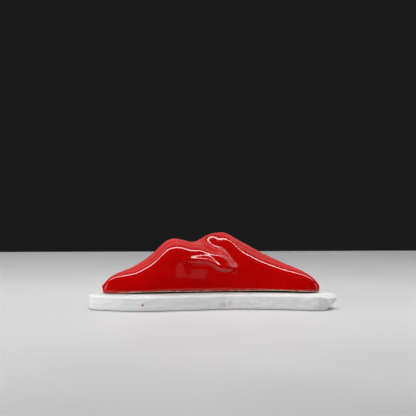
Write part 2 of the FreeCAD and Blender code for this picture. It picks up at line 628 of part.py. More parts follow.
# ---- circuit board ------------------------------------------------------------------------
BX, BY = 2.0, 8.0
brd = box("Sizes.board_long", "Sizes.board_wide", "Sizes.board_thick", BX, BY, "Sizes.board_level")
keep(cut(brd, *[cyl("Sizes.screw_radius + 0.2", 5, x, y, BOARD_Z - 1) for x, y in BOARD_SCREWS]), "circuit_board")
keep(group(*[screw(x, y, BOARD_TOP + 0.05, 5.5, up=False) for x, y in BOARD_SCREWS]), "board_screws")
chip = [box(22, 6.6, 3.4, -6, 20, BOARD_TOP + 0.6)]
for i in range(9):
    for sy in (-1, 1):
        chip.append(box(0.6, 1.2, 2.2, -6 - 10 + 2.5 * i, 20 + sy * 3.8, BOARD_TOP + 0.02))
keep(fuse(*chip), "dialler_chip")
keep(group(cyl(3.2, 9, -26, -8, BOARD_TOP + 0.02), cyl(2.5, 7, -18, -10, BOARD_TOP + 0.02), cyl(4.0, 10, 30, -6, BOARD_TOP + 0.02),
           cyl(2.5, 7, 20, -10, BOARD_TOP + 0.02)), "capacitors")
core = box(14, 12, 9, 28, 20, BOARD_TOP + 0.02)
keep(fuse(core, box(8, 16, 7, 28, 20, BOARD_TOP + 1.0)), "line_transformer")
keep(group(*[cyl(0.9, 6.3, -13 + 6 * i, -1.5 if i % 2 else -12.0, BOARD_TOP + 1.0, "y") for i in range(5)]), "resistors")

# ---- receiver, microphone, ringer ---------------------------------------------------------
keep(cut(cyl("Sizes.receiver_radius", "Sizes.gasket_thick", "Sizes.receiver_x", "Sizes.receiver_y", PLATE_TOP),
         cyl(10.5, 10, "Sizes.receiver_x", "Sizes.receiver_y", PLATE_TOP - 2)), "receiver_gasket")
cap = fuse(cyl("Sizes.receiver_radius", "Sizes.receiver_high - 2", "Sizes.receiver_x", "Sizes.receiver_y", PLATE_TOP + GASK_T),
           cyl(9.5, "Sizes.receiver_high", "Sizes.receiver_x", "Sizes.receiver_y", PLATE_TOP + GASK_T))
keep(cap, "receiver_capsule")
rz = PLATE_TOP + GASK_T + REC_H + 0.25
lock = cut(cyl("Sizes.receiver_radius + 0.3 + Sizes.collar_wall", 1.6, "Sizes.receiver_x", "Sizes.receiver_y", rz),
           cyl(10.2, 10, "Sizes.receiver_x", "Sizes.receiver_y", rz - 4))
lug = cut(cyl("Sizes.receiver_radius - 0.4", 2.0 + 0.15, "Sizes.receiver_x", "Sizes.receiver_y", rz - 2.05),
          cyl(10.2, 10, "Sizes.receiver_x", "Sizes.receiver_y", rz - 4))
keep(fuse(lock, lug), "receiver_retainer")
boot = cut(cyl(6.5, 8.0, "Sizes.microphone_x", "Sizes.microphone_y", PLATE_TOP + 0.02),
           cyl("Sizes.microphone_radius + 0.02", 20, "Sizes.microphone_x", "Sizes.microphone_y", PLATE_TOP + 1.2),
           cyl(3.6, 20, "Sizes.microphone_x", "Sizes.microphone_y", PLATE_TOP - 5))
keep(boot, "microphone_boot")
keep(cyl("Sizes.microphone_radius", 6.5, "Sizes.microphone_x", "Sizes.microphone_y", PLATE_TOP + 1.22), "microphone_capsule")
cup = cut(cyl("Sizes.ringer_radius", 7.0, "Sizes.ringer_x", "Sizes.ringer_y", PLATE_TOP + 0.02),
          cyl("Sizes.ringer_radius - 1.4", 3.0, "Sizes.ringer_x", "Sizes.ringer_y", PLATE_TOP - 0.5),
          cyl("Sizes.ringer_radius - 3.0", 5.6, "Sizes.ringer_x", "Sizes.ringer_y", PLATE_TOP - 0.5))
keep(cup, "ringer_chamber")
keep(fuse(cyl("Sizes.ringer_radius - 1.6", 0.5, "Sizes.ringer_x", "Sizes.ringer_y", PLATE_TOP + 1.9),
          cyl("Sizes.ringer_radius - 4.6", 0.4, "Sizes.ringer_x", "Sizes.ringer_y", PLATE_TOP + 2.3)), "ringer_disc")

# ---- hook switch --------------------------------------------------------------------------
FL_Z = PLATE_TOP + HOOK_TRAVEL + 0.3          # underside of the plunger's flange, pressed in
b = new_body("Body_hook_plunger")
s = sketch(b)
circle(s, "Sizes.hook_radius", HOOK_R)
p = pad(b, s, FL_Z - (BASE_TOP + 0.3))
s = sketch(b, lift=FL_Z - (BASE_TOP + 0.3))
circle(s, "Sizes.hook_radius + 1.5", HOOK_R + 1.5)
pad(b, s, 1.6)
s = sketch(b, lift=FL_Z - (BASE_TOP + 0.3) + 1.6)
circle(s, 1.8, 1.8)
p = pad(b, s, 9.6)
round_edges(b, p, 0.0, 1.6)
b.Placement = FreeCAD.Placement(Vector(HOOK_X, HOOK_Y, BASE_TOP + 0.3), FreeCAD.Rotation())
keep(b, "hook_plunger")
TUBE_TOP = FL_Z + 1.6 + 7.0
guide = cut(cyl(8.0, TUBE_TOP + 1.6 - PLATE_TOP - 0.02, "Sizes.hook_x", "Sizes.hook_y", PLATE_TOP + 0.02),
            cyl(6.2, TUBE_TOP - PLATE_TOP + 1, "Sizes.hook_x", "Sizes.hook_y", PLATE_TOP - 1),
            cyl(2.2, 60, "Sizes.hook_x", "Sizes.hook_y", PLATE_TOP - 1))
keep(guide, "hook_guide")
hs = cut(box(10, 6, 4.5, "Sizes.hook_x", "Sizes.hook_y", TUBE_TOP + 1.65),
         cyl(2.2, 3.2, "Sizes.hook_x", "Sizes.hook_y", TUBE_TOP))
keep(hs, "hook_switch")
# a rubber sleeve with four folds pushes the plunger back out
sleeve, fold = [], 6.9 / 8
for i in range(4):
    z = FL_Z + 1.65 + 2 * fold * i
    sleeve += [cone(4.0, 5.2, fold, "Sizes.hook_x", "Sizes.hook_y", z), cone(5.2, 4.0, fold, "Sizes.hook_x", "Sizes.hook_y", z + fold)]
keep(cut(fuse(*sleeve), cyl(3.0, 30, "Sizes.hook_x", "Sizes.hook_y", FL_Z - 5)), "hook_bellows")

# ---- slide switches -----------------------------------------------------------------------
for sx, x0, nb, nk in (("Sizes.tone_x", TONE_X, "tone_switch_body", "tone_switch_knob"),
                       ("Sizes.ringer_switch_x", RSW_X, "ringer_switch_body", "ringer_switch_knob")):
    mid = "%s + Sizes.switch_travel / 2" % sx
    keep(cut(box(14, 6.0, 5.6, mid, "Sizes.switch_y", PLATE_TOP + 0.02),
             box("4.4 + Sizes.switch_travel + 0.8", 4.0, 3.4, mid, "Sizes.switch_y", PLATE_TOP - 1)), nb)
    knob = new_body("Body_" + nk)
    s = sketch(knob)
    rectangle(s, 4.4, 3.2, 4.4, 3.2)
    p = pad(knob, s, PLATE_TOP + 1.9 - (BASE_TOP + 0.6))
    round_edges(knob, p, 0.0, 0.4)
    bind(knob, "Placement.Base.x", sx)
    bind(knob, "Placement.Base.y", "Sizes.switch_y")
    bind(knob, "Placement.Base.z", BASE_TOP + 0.6)
    keep(knob, nk)

# ---- line socket --------------------------------------------------------------------------
JY = JACK_Y - JACK_D
jz = PLATE_TOP + 0.02
jack = cut(box("Sizes.jack_wide", "Sizes.jack_deep", "Sizes.jack_high", "Sizes.jack_x", JACK_Y - JACK_D / 2, jz),
           box(9.8, 12.4, 6.8, "Sizes.jack_x", JACK_Y - 12.4 / 2 + 0.4, jz + 1.6),
           box(4.2, 12.4, 1.6, "Sizes.jack_x", JACK_Y - 12.4 / 2 + 0.4, jz + 8.3))
keep(jack, "line_jack")
pins = [fuse(box(0.45, 11.0, 0.45, JACK_X - 1.9 + 1.27 * i, JY + 8.2, jz + 1.62),
             box(0.45, 0.45, 2.0, JACK_X - 1.9 + 1.27 * i, JY + 13.0, jz + 1.62)) for i in range(4)]
keep(group(*pins), "jack_contacts")


# ---- leads --------------------------------------------------------------------------------
def lead(points, r=3.0):
    """A round wire along straight runs joined by tangent arcs."""
    p = [Vector(*q) for q in points]
    edges, at = [], p[0]
    for i in range(1, len(p) - 1):
        u, v = (p[i - 1] - p[i]).normalize(), (p[i + 1] - p[i]).normalize()
        half = u.getAngle(v) / 2
        t = r / math.tan(half)
        a, b = p[i] + u * t, p[i] + v * t
        m = p[i] + (u + v).normalize() * (r / math.sin(half) - r)
        edges += [Part.LineSegment(at, a).toShape(), Part.Arc(a, m, b).toShape()]
        at = b
    edges.append(Part.LineSegment(at, p[-1]).toShape())
    path = Part.Wire(edges)
    prof = Part.Wire([Part.makeCircle(WIRE_R, p[0], p[1] - p[0])])
    return path.makePipeShell([prof], True, False)


def leads(routes):
    return free(Part.makeCompound([lead(q) for q in routes]))


top = PLATE_TOP + GASK_T + REC_H + 0.05
keep(leads([[(-60.0, -18.0 + d, top), (-60.0, -18.0 + d, 34.0), (-34.5, -6.0 + d, 34.0), (-34.5, -6.0 + d, BOARD_TOP + 0.05)]
            for d in (0.0, 2.5)]), "receiver_leads")
top = PLATE_TOP + 1.22 + 6.5 + 0.05
keep(leads([[(76.0, -23.0 + d, top), (76.0, -23.0 + d, 33.0), (38.0, -8.0 + d, 33.0), (38.0, -8.0 + d, BOARD_TOP + 0.05)]
            for d in (0.0, 2.5)]), "microphone_leads")
top = PLATE_TOP + 7.02 + 0.05
keep(leads([[(50.0, -6.0 + d, top), (50.0, -6.0 + d, 32.5), (38.5, 2.0 + d, 32.5), (38.5, 2.0 + d, BOARD_TOP + 0.05)]
            for d in (0.0, 2.5)]), "ringer_leads")
top = PLATE_TOP + 0.02 + JACK_H + 0.05
keep(leads([[(0.5 + d, 41.0, top), (0.5 + d, 41.0, 37.5), (0.5 + d, 30.0, 37.5), (0.5 + d, 30.0, BOARD_TOP + 0.05)]
            for d in (0.0, 3.0)]), "line_leads")
hz = TUBE_TOP + 1.65 + 2.2
keep(leads([[(HOOK_X + 5.05, 10.8 + d, hz), (-33.0, 10.8 + d, hz), (-33.0, 10.8 + d, BOARD_TOP + 0.05)] for d in (0.0, 2.5)]),
     "hook_leads")

# ---- check and write ----------------------------------------------------------------------
doc.recompute()
bad = []
for o in doc.Objects:
    if any(w in str(st) for st in o.State for w in ("Invalid", "Error")):
        bad.append("%s: %s" % (o.Label, o.State))
for label, o in NODES:
    if o.Shape.isNull() or not o.Shape.isValid() or o.Shape.Volume <= 0:
        bad.append("%s: bad shape" % label)
    if not o.Shape.Solids:
        bad.append("%s: no solid" % label)
if len(set(n for n, o in NODES)) != len(NODES) or len(NODES) > 60:
    bad.append("node names")
for label, o in NODES:
    print("%-20s solids %2d volume %9.1f mm3" % (label, len(o.Shape.Solids), o.Shape.Volume))
if bad:
    raise RuntimeError("; ".join(bad))
os.makedirs("parts", exist_ok=True)
for label, o in NODES:
    o.Shape.exportStep("parts/%s.step" % label)
print(len(NODES), "nodes written")
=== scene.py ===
import bpy, bmesh, json, math, random
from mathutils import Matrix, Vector, noise


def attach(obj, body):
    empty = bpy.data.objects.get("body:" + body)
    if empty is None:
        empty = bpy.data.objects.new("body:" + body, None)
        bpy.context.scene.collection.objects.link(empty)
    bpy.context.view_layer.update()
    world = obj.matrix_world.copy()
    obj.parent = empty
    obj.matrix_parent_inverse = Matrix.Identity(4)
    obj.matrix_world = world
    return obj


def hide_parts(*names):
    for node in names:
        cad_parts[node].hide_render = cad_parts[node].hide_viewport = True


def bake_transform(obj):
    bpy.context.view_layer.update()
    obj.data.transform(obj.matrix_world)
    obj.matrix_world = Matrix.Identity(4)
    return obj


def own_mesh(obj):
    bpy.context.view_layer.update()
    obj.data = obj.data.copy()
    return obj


# A table telephone shaped like closed lips, lying on a flat white plate.
# Metres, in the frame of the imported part. Lengths in the tables below are millimetres.

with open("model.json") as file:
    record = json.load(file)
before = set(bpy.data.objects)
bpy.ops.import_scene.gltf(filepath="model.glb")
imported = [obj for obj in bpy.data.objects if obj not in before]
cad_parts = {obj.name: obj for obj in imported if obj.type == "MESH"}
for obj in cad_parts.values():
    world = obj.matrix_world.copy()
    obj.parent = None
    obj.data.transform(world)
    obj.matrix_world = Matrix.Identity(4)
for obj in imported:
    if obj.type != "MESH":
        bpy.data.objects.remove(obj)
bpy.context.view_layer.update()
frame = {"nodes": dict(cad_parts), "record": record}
nodes = frame["nodes"]
scene = bpy.context.scene
random.seed(7)
MM = 0.001


# ---- materials ----------------------------------------------------------------------------
def shader(name):
    m = bpy.data.materials.new(name)
    m.use_nodes = True
    nt = m.node_tree
    p = nt.nodes["Principled BSDF"]
    co = nt.nodes.new("ShaderNodeTexCoord")
    return m, nt, p, co.outputs["Object"]


def noise_tex(nt, vec, scale, detail=4.0, rough=0.55, stretch=None):
    if stretch:
        mp = nt.nodes.new("ShaderNodeMapping")
        mp.inputs["Scale"].default_value = stretch
        nt.links.new(vec, mp.inputs["Vector"])
        vec = mp.outputs["Vector"]
    n = nt.nodes.new("ShaderNodeTexNoise")
    n.inputs["Scale"].default_value = scale
    n.inputs["Detail"].default_value = detail
    n.inputs["Roughness"].default_value = rough
    nt.links.new(vec, n.inputs["Vector"])
    return n.outputs["Fac"]


def ramp(nt, fac, stops):
    r = nt.nodes.new("ShaderNodeValToRGB")
    e = r.color_ramp.elements
    while len(e) < len(stops):
        e.new(0.5)
    for k, (pos, col) in zip(e, stops):
        k.position = pos
        k.color = (*col, 1.0) if len(col) == 3 else col
    nt.links.new(fac, r.inputs["Fac"])
    return r.outputs["Color"]


def remap(nt, val, a, b, c, d):
    m = nt.nodes.new("ShaderNodeMapRange")
    for k, v in zip(("From Min", "From Max", "To Min", "To Max"), (a, b, c, d)):
        m.inputs[k].default_value = v
    nt.links.new(val, m.inputs["Value"])
    return m.outputs["Result"]


def blend(nt, fac, a, b):
    """Colour a where fac is 0, b where it is 1; each is a socket or a colour."""
    m = nt.nodes.new("ShaderNodeMix")
    m.data_type = "RGBA"
    nt.links.new(fac, m.inputs[0])
    for sock, v in ((m.inputs[6], a), (m.inputs[7], b)):
        if isinstance(v, tuple):
            sock.default_value = (*v, 1.0)
        else:
            nt.links.new(v, sock)
    return m.outputs[2]


def math_node(nt, op, a, b):
    m = nt.nodes.new("ShaderNodeMath")
    m.operation = op
    for sock, v in ((m.inputs[0], a), (m.inputs[1], b)):
        if isinstance(v, (int, float)):
            sock.default_value = v
        else:
            nt.links.new(v, sock)
    return m.outputs[0]


def bump(nt, p, height, strength, dist):
    b = nt.nodes.new("ShaderNodeBump")
    b.inputs["Strength"].default_value = strength
    b.inputs["Distance"].default_value = dist
    nt.links.new(height, b.inputs["Height"])
    nt.links.new(b.outputs["Normal"], p.inputs["Normal"])


def spot(nt, vec, at, radius):
    """1 at a point given in millimetres, falling to 0 at the radius."""
    d = nt.nodes.new("ShaderNodeVectorMath")
    d.operation = "DISTANCE"
    nt.links.new(vec, d.inputs[0])
    d.inputs[1].default_value = tuple(v * MM for v in at)
    return remap(nt, d.outputs["Value"], radius * MM, radius * MM * 0.35, 0.0, 1.0)


def plain(name, colour, rough, metal=0.0, vary=0.12, scale=300.0, grain=0.1, coat=0.0, stretch=None):
    """A finish with slight mottling and grain."""
    m, nt, p, co = shader(name)
    f = noise_tex(nt, co, scale, 4.0, 0.6, stretch)
    lo = tuple(c * (1 - vary) for c in colour)
    hi = tuple(min(1.0, c * (1 + vary)) for c in colour)
    nt.links.new(ramp(nt, f, [(0.3, lo), (0.7, hi)]), p.inputs["Base Color"])
    nt.links.new(remap(nt, f, 0.3, 0.7, max(0.03, rough - 0.06), rough + 0.06), p.inputs["Roughness"])
    p.inputs["Metallic"].default_value = metal
    p.inputs["Coat Weight"].default_value = coat
    bump(nt, p, noise_tex(nt, co, scale * 4, 3.0), grain, 0.0002)
    return m


# red lacquer, worn to a cream edge at the rim
lips_mat, nt, p, co = shader("red_lacquer")
f = noise_tex(nt, co, 22.0, 3.0)
red = ramp(nt, f, [(0.3, (0.475, 0.0008, 0.0008)), (0.7, (0.56, 0.0014, 0.0012))])
at = nt.nodes.new("ShaderNodeAttribute")
at.attribute_name = "rim"
ragged = math_node(nt, "ADD", at.outputs["Fac"], remap(nt, noise_tex(nt, co, 260.0, 4.0), 0.3, 0.7, -0.55, 0.55))
edge = remap(nt, ragged, 0.75, 0.35, 0.0, 1.0)
nt.links.new(blend(nt, edge, red, (0.62, 0.50, 0.34)), p.inputs["Base Color"])
flat = nt.nodes.new("ShaderNodeVectorMath")      # duller along the fold below the right peak
flat.operation = "MULTIPLY"
flat.inputs[1].default_value = (1.0, 0.0, 1.0)
nt.links.new(co, flat.inputs[0])
split = nt.nodes.new("ShaderNodeSeparateXYZ")
nt.links.new(co, split.inputs[0])
in_front = remap(nt, split.outputs["Y"], -0.004, -0.010, 0.0, 1.0)
dull = remap(nt, edge, 0.0, 1.0, 0.07, 0.6)
for at_mm in ((10.5, 0.0, 53.5), (14.0, 0.0, 49.5), (17.5, 0.0, 45.5), (21.0, 0.0, 41.5)):
    patch = math_node(nt, "MULTIPLY", spot(nt, flat.outputs["Vector"], at_mm, 6.5), in_front)
    dull = math_node(nt, "MAXIMUM", dull, remap(nt, patch, 0.0, 1.0, 0.07, 0.34))
nt.links.new(dull, p.inputs["Roughness"])
p.inputs["IOR"].default_value = 1.5
p.inputs["Coat Weight"].default_value = 0.0
bump(nt, p, noise_tex(nt, co, 75.0, 2.0), 0.05, 0.0004)

# chalky white paint, brushed along the edge of the plate
white_mat, nt, p, co = shader("white_paint")
streak = noise_tex(nt, co, 60.0, 5.0, 0.65, (0.25, 0.6, 14.0))
cloud = noise_tex(nt, co, 34.0, 5.0, 0.6)
col = blend(nt, remap(nt, streak, 0.35, 0.66, 0.0, 1.0), (0.82, 0.822, 0.828), (0.96, 0.96, 0.96))
col = blend(nt, remap(nt, cloud, 0.56, 0.76, 0.0, 0.5), col, (0.60, 0.60, 0.61))
grit = noise_tex(nt, co, 900.0, 2.0, 0.5)
col = blend(nt, remap(nt, grit, 0.69, 0.75, 0.0, 0.6), col, (0.30, 0.29, 0.28))
for at_mm, r, c in (((-69.5, -64.9, 6.3), 1.5, (0.55, 0.06, 0.05)), ((9.5, -54.2, 4.8), 4.0, (0.84, 0.70, 0.68)),
                    ((16.5, -53.4, 6.4), 3.0, (0.84, 0.74, 0.72)), ((-8.0, -45.5, 14.5), 1.5, (0.07, 0.07, 0.07)),
                    ((-3.1, -45.0, 14.5), 1.2, (0.10, 0.10, 0.10)), ((36.6, -45.5, 14.5), 1.5, (0.08, 0.08, 0.08)),
                    ((59.4, -46.5, 14.5), 1.3, (0.10, 0.09, 0.09)), ((-119.0, -52.0, 12.5), 1.2, (0.12, 0.12, 0.12))):
    col = blend(nt, spot(nt, co, at_mm, r), col, c)
xyz = nt.nodes.new("ShaderNodeSeparateXYZ")
nt.links.new(co, xyz.inputs[0])
along = remap(nt, xyz.outputs["X"], -0.110, 0.107, 0.0, 1.0)


def edge_line(values):
    """A line y(x) in millimetres, given at even steps along the shell."""
    g = ramp(nt, along, [(i / (len(values) - 1.0), ((v + 60.0) / 120.0,) * 3) for i, v in enumerate(values)])
    return remap(nt, g, 0.0, 1.0, -0.060, 0.060)


# painted shadow: between the near and far lines the plate's top is painted near-black, standing in for the shade in the
# gap under the shell
near_line = edge_line([-38.0, -43.0, -42.5, -42.0, -41.0, -39.5, -36.5, -34.5, -33.5, -33.5, -34.5, -36.0, -38.5, -42.0, -37.5])
far_line = edge_line([-28.0, -8.0, 6.0, 21.0, 33.0, 41.0, 46.0, 49.0, 49.0, 47.0, 40.0, 29.0, 14.0, -5.0, -26.0])
gap_shadow = math_node(nt, "MULTIPLY",
                  remap(nt, math_node(nt, "SUBTRACT", xyz.outputs["Y"], near_line), 0.0, 0.002, 0.0, 1.0),
                  remap(nt, math_node(nt, "SUBTRACT", far_line, xyz.outputs["Y"]), 0.0, 0.002, 0.0, 1.0))
for sock, a, b in ((xyz.outputs["Z"], 0.0138, 0.0142), (xyz.outputs["X"], -0.1065, -0.1035), (xyz.outputs["X"], 0.1025, 0.0995)):
    gap_shadow = math_node(nt, "MULTIPLY", gap_shadow, remap(nt, sock, a, b, 0.0, 1.0))
col = blend(nt, gap_shadow, col, (0.03, 0.028, 0.026))
geo = nt.nodes.new("ShaderNodeNewGeometry")
facing = nt.nodes.new("ShaderNodeSeparateXYZ")
nt.links.new(geo.outputs["Normal"], facing.inputs[0])
# painted shade: the upward-facing top is painted greyer than the edge, to tone down the light falling on it
top_shade = nt.nodes.new("ShaderNodeMix")      # the upper face is a little greyer than the edge
top_shade.data_type, top_shade.blend_type = "RGBA", "MULTIPLY"
nt.links.new(remap(nt, facing.outputs["Z"], 0.55, 0.9, 0.0, 1.0), top_shade.inputs[0])
nt.links.new(col, top_shade.inputs[6])
top_shade.inputs[7].default_value = (0.72, 0.71, 0.71, 1.0)
nt.links.new(top_shade.outputs[2], p.inputs["Base Color"])
nt.links.new(remap(nt, cloud, 0.3, 0.7, 0.55, 0.8), p.inputs["Roughness"])
p.inputs["Specular IOR Level"].default_value = 0.3
bump(nt, p, math_node(nt, "ADD", streak, noise_tex(nt, co, 420.0, 4.0, 0.6)), 0.35, 0.0006)

FINISH = {
    "black_plastic": plain("black_plastic", (0.022, 0.022, 0.024), 0.45),
    "steel": plain("steel", (0.50, 0.50, 0.51), 0.35, 1.0, 0.08, 80.0, 0.05),
    "rubber": plain("rubber", (0.028, 0.028, 0.028), 0.75, 0.0, 0.2, 500.0, 0.3),
    "screw_steel": plain("screw_steel", (0.58, 0.58, 0.59), 0.3, 1.0, 0.08, 500.0, 0.05),
    "ivory_plastic": plain("ivory_plastic", (0.78, 0.73, 0.60), 0.38, 0.0, 0.05, 120.0, 0.12),
    "charcoal_plastic": plain("charcoal_plastic", (0.045, 0.045, 0.05), 0.42),
    "grey_rubber": plain("grey_rubber", (0.36, 0.37, 0.39), 0.6),
    "board_green": plain("board_green", (0.025, 0.17, 0.06), 0.35, 0.0, 0.2, 200.0),
    "capacitor_can": plain("capacitor_can", (0.04, 0.05, 0.18), 0.25),
    "transformer_core": plain("transformer_core", (0.13, 0.11, 0.09), 0.5),
    "resistor_body": plain("resistor_body", (0.60, 0.48, 0.32), 0.35),
    "capsule_metal": plain("capsule_metal", (0.68, 0.68, 0.69), 0.32, 1.0, 0.06, 150.0, 0.05),
    "brass": plain("brass", (0.76, 0.56, 0.24), 0.28, 1.0, 0.08, 200.0, 0.05),
    "white_plastic": plain("white_plastic", (0.82, 0.82, 0.80), 0.25, 0.0, 0.04),
    "switch_metal": plain("switch_metal", (0.60, 0.60, 0.61), 0.3, 1.0, 0.06, 180.0, 0.05),
    "key_plastic": plain("key_plastic", (0.80, 0.78, 0.70), 0.4, 0.0, 0.05, 200.0, 0.15),
    "red_wire": plain("red_wire", (0.60, 0.02, 0.02), 0.35),
    "blue_wire": plain("blue_wire", (0.03, 0.08, 0.48), 0.35),
    "yellow_wire": plain("yellow_wire", (0.78, 0.58, 0.03), 0.35),
    "green_wire": plain("green_wire", (0.03, 0.38, 0.10), 0.35),
    "white_wire": plain("white_wire", (0.78, 0.78, 0.78), 0.35),
    "red_gloss": lips_mat,
    "white_paint": white_mat,
}
ink = plain("key_ink", (0.035, 0.035, 0.04), 0.5, 0.0, 0.2, 400.0)
for sp in frame["record"]["subparts"]:
    o = nodes[sp["node"]]
    o.data.materials.clear()
    o.data.materials.append(FINISH[sp["material_slot"]])


# ---- mesh helpers -------------------------------------------------------------------------
def to_object(name, bm, mat, smooth=True):
    bmesh.ops.recalc_face_normals(bm, faces=bm.faces)
    me = bpy.data.meshes.new(name)
    bm.to_mesh(me)
    bm.free()
    for f in me.polygons:
        f.use_smooth = smooth
    o = bpy.data.objects.new(name, me)
    scene.collection.objects.link(o)
    me.materials.append(mat)
    return o


def loops_to_bm(bm, loops, first_cap=True, last_cap=True):
    """Joins closed loops of equal length, in millimetres, into a closed skin."""
    vs = [[bm.verts.new((x * MM, y * MM, z * MM)) for x, y, z in lp] for lp in loops]
    n = len(vs[0])
    for a, b in zip(vs, vs[1:]):
        for i in range(n):
            bm.faces.new((a[i], a[(i + 1) % n], b[(i + 1) % n], b[i]))
    if first_cap:
        bm.faces.new(vs[0])
    if last_cap:
        bm.faces.new(vs[-1])
    return vs


def tube(bm, x, y, z0, z1, r, ri, deep):
    """A round post with a blind hole in its lower end."""
    def ring(rad, z, n=28):
        return [(x + rad * math.cos(2 * math.pi * i / n), y + rad * math.sin(2 * math.pi * i / n), z) for i in range(n)]
    loops_to_bm(bm, [ring(ri, z0 + deep), ring(ri, z0), ring(r, z0), ring(r, z1)])


# ---- the lips -----------------------------------------------------------------------------
def spline(xs, ys):
    n = len(xs)
    h = [xs[i + 1] - xs[i] for i in range(n - 1)]
    a, b, c, d = [0.0] * n, [1.0] * n, [0.0] * n, [0.0] * n
    for i in range(1, n - 1):
        a[i], b[i], c[i] = h[i - 1], 2 * (h[i - 1] + h[i]), h[i]
        d[i] = 6 * ((ys[i + 1] - ys[i]) / h[i] - (ys[i] - ys[i - 1]) / h[i - 1])
    for i in range(1, n):
        m = a[i] / b[i - 1]
        b[i] -= m * c[i - 1]
        d[i] -= m * d[i - 1]
    mm = [0.0] * n
    for i in range(n - 2, -1, -1):
        mm[i] = (d[i] - c[i] * mm[i + 1]) / b[i]

    def f(x):
        k = 0
        while k < n - 2 and x > xs[k + 1]:
            k += 1
        t, u, q = x - xs[k], xs[k + 1] - x, h[k]
        return ((mm[k] * u ** 3 + mm[k + 1] * t ** 3) / (6 * q)
                + (ys[k] / q - mm[k] * q / 6) * u + (ys[k + 1] / q - mm[k + 1] * q / 6) * t)
    return f


SHELL_Z, PLATE_TOP, BASE_TOP, FOOT_OUT = 14.8, 18.2, 14.5, 0.4
SHELL_LEFT, SHELL_RIGHT = -110.7, 107.6
XC, LH = (SHELL_LEFT + SHELL_RIGHT) / 2, (SHELL_RIGHT - SHELL_LEFT) / 2
TIP_Y = -33.0
STATION = [SHELL_LEFT, -100, -88, -72, -56, -44, -36, -20, -6, 9, 22, 36, 52, 70, 86, 98, SHELL_RIGHT]
NEAR = [13.0, 13.1, 12.2, 11.5, 10.5, 9.0, 8.0, 5.7, 4.0, 3.0, 2.5, 3.0, 4.3, 6.5, 10.0, 12.5, 13.0]
FAR = [15.0, 20.0, 31.0, 50.0, 66.0, 74.0, 78.0, 83.0, 85.0, 85.0, 82.5, 78.0, 67.0, 50.5, 31.9, 21.0, 15.0]
MOUTH = [-33.0, -27.5, -20.0, -10.0, -3.0, 1.5, 4.0, 7.0, 8.0, 8.0, 7.0, 4.5, -1.0, -9.5, -19.0, -27.0, -33.0]
LOWER = [10.0, 12.5, 15.5, 21.0, 29.0, 35.5, 38.5, 41.5, 42.0, 41.0, 38.5, 34.0, 27.5, 20.5, 15.5, 12.5, 10.0]
CREST_X = [SHELL_LEFT, -105, -100, -88, -72, -60, -52, -44, -36, -28, -20, -12, -4, 4, 12, 20, 28, 36, 52, 70, 86, 98, 103,
           SHELL_RIGHT]
UPPER = [9.5, 17.2, 21.0, 25.2, 32.0, 39.8, 47.4, 53.7, 55.9, 56.3, 57.1, 61.9, 64.0, 63.0, 61.6, 57.0, 51.9, 47.5,
         39.3, 32.6, 26.2, 19.9, 15.2, 7.4]
near_f, far_f, mouth_f = spline(STATION, NEAR), spline(STATION, FAR), spline(STATION, MOUTH)
lower_f, upper_f = spline(STATION, LOWER), spline(CREST_X, UPPER)
ROLL_NEAR, ROLL_FAR, ROLL_K = 30.0, 28.0, 2.77
RIM = [(-130, 0.0), (-109, 0.05), (-100, 0.1), (-90, 0.6), (-75, 1.3), (-50, 1.7), (-30, 1.4), (0, 1.3), (30, 1.5),
       (50, 1.9), (70, 1.9), (90, 1.4), (100, 1.0), (107, 0.9), (130, 0.9)]
rim_f = spline([a for a, b in RIM], [b for a, b in RIM])


def outline(x, off=0.0):
    xi = (x - XC) / (LH - off * 1.35)
    e = math.sqrt(max(0.0, 1 - abs(xi) ** 10))
    return TIP_Y - near_f(x) * e + off * e, TIP_Y + far_f(x) * e - off * e


def crest(x, y, near):
    ym, up, lo = mouth_f(x), upper_f(x), lower_f(x)
    a = 0.5 * (1 - math.tanh((y - ym) / 7.0))
    top = up * a + lo * (1 - a) - 0.32 * lo * math.exp(-((y - ym) / 6.0) ** 2)
    d = y - near
    ax, ad, bx, bd = 21.5, 8.0, -19.0, 38.0
    ln = math.hypot(bx - ax, bd - ad)
    vx, vd = (bx - ax) / ln, (bd - ad) / ln
    t = ((x - ax) * vx + (d - ad) * vd) / ln
    q = (x - ax) * vd - (d - ad) * vx
    tc = min(max(t, 0.0), 1.2)
    w = 3.0 + 5.7 * tc if q > 0 else 6.0 + 10.0 * tc
    deep = 12.5 - 6.0 * min(tc, 1.0)
    if t < 0:
        deep *= math.exp(-(t / 0.22) ** 2)
    if t > 1:
        deep *= math.exp(-((t - 1) / 0.35) ** 2)
    top -= deep * math.exp(-(q / w) ** 2)
    return top - 12.0 * math.exp(-((x + 3.0) / 17.0) ** 2 - (d / 21.0) ** 2)


def skin(x, s, off=0.0, drop=0.0):
    near0, far0 = outline(x)
    near, far = outline(x, off)
    w = max(far - near, 1e-6)
    y = near + w * math.sin(math.pi * s / 2) ** 2
    rn, rf = min(ROLL_NEAR, 0.55 * w), min(ROLL_FAR, 0.55 * w)
    k = (1 - math.exp(-ROLL_K * (y - near) / rn)) * (1 - math.exp(-ROLL_K * (far - y) / rf))
    if s <= 0.0 or s >= 1.0:
        k = 0.0
    # hollow shoulder in front of the dip
    hollow = 4.6 * math.exp(-((y - near0 - 22.0) / 14.0) ** 2 - ((x + 3.0) / 16.0) ** 2)
    return x, y, (crest(x, y, near0) - drop - hollow) * math.sqrt(max(0.0, k))


def outer_skin(x, s):
    x, y, z = skin(x, s)
    near, far = outline(x)
    i = 2.2 * math.exp(-z / 1.3) - 1.2 * math.exp(-z / 9.0)
    wy = math.cos(math.pi * s) * min(1.0, (far - near) / 24.0)
    zb = 32.8 - 4.2 * (1 + math.tanh((x - 2.0) / 6.0))
    b = 3.4 * math.exp(-((x + 4) / 25.0) ** 2 - ((z - zb) / 3.0) ** 2) * max(0.0, 1 - s / 0.45)
    xi = (x - XC) / LH
    tau = 1.0 if abs(xi) > 0.9997 else abs(xi) ** 80
    ix = i * (1 - tau) + (2.2 * (1 - z / 12.0) - 1.0) * tau
    return x - ix * 1.6 * xi ** 7, y + i * wy * abs(math.cos(math.pi * s)) - b, z


